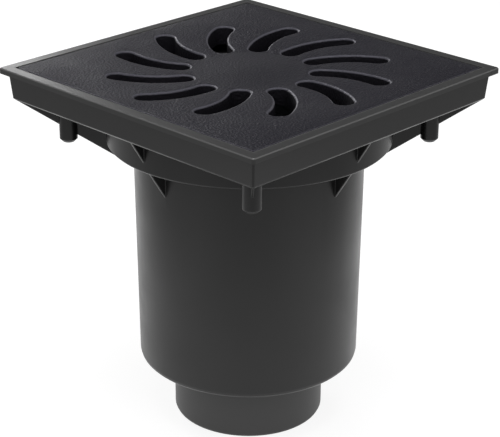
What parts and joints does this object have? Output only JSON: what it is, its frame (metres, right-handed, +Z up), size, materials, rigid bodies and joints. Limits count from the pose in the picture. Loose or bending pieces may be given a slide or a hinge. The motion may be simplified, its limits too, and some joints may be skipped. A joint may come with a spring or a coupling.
{
  "type": "yard gully",
  "caption": "Square yard gully: black plastic body with a vertical pipe outlet, flush cast-iron grate with curved slots, lift-out silt bucket and bell trap.",
  "frame": {"origin": "centre of the outlet spigot's open end, the lowest plane of the gully", "axes": "+Z up along the barrel to the grate; X and Y along the sides of the square rim"},
  "size_m": [0.2466, 0.2466, 0.264],
  "materials": {
    "body_plastic": "moulded, fine matt",
    "grate_iron": "cast, dipped blue-black",
    "trap_plastic": "moulded, satin",
    "bucket_plastic": "moulded, satin",
    "handle_plastic": "moulded, satin"
  },
  "bodies": {
    "gully": {"gully_body": "body_plastic", "grate": "grate_iron", "bell_trap": "trap_plastic", "silt_bucket": "bucket_plastic"},
    "handle": {"bucket_handle": "handle_plastic"}
  },
  "joints": [
    {"name": "handle_fold", "type": "hinge", "parent": "gully", "child": "handle", "pos_m": [0, 0, 0.2222], "axis": [1, 0, 0], "range_deg": [0, 180]}
  ]
}
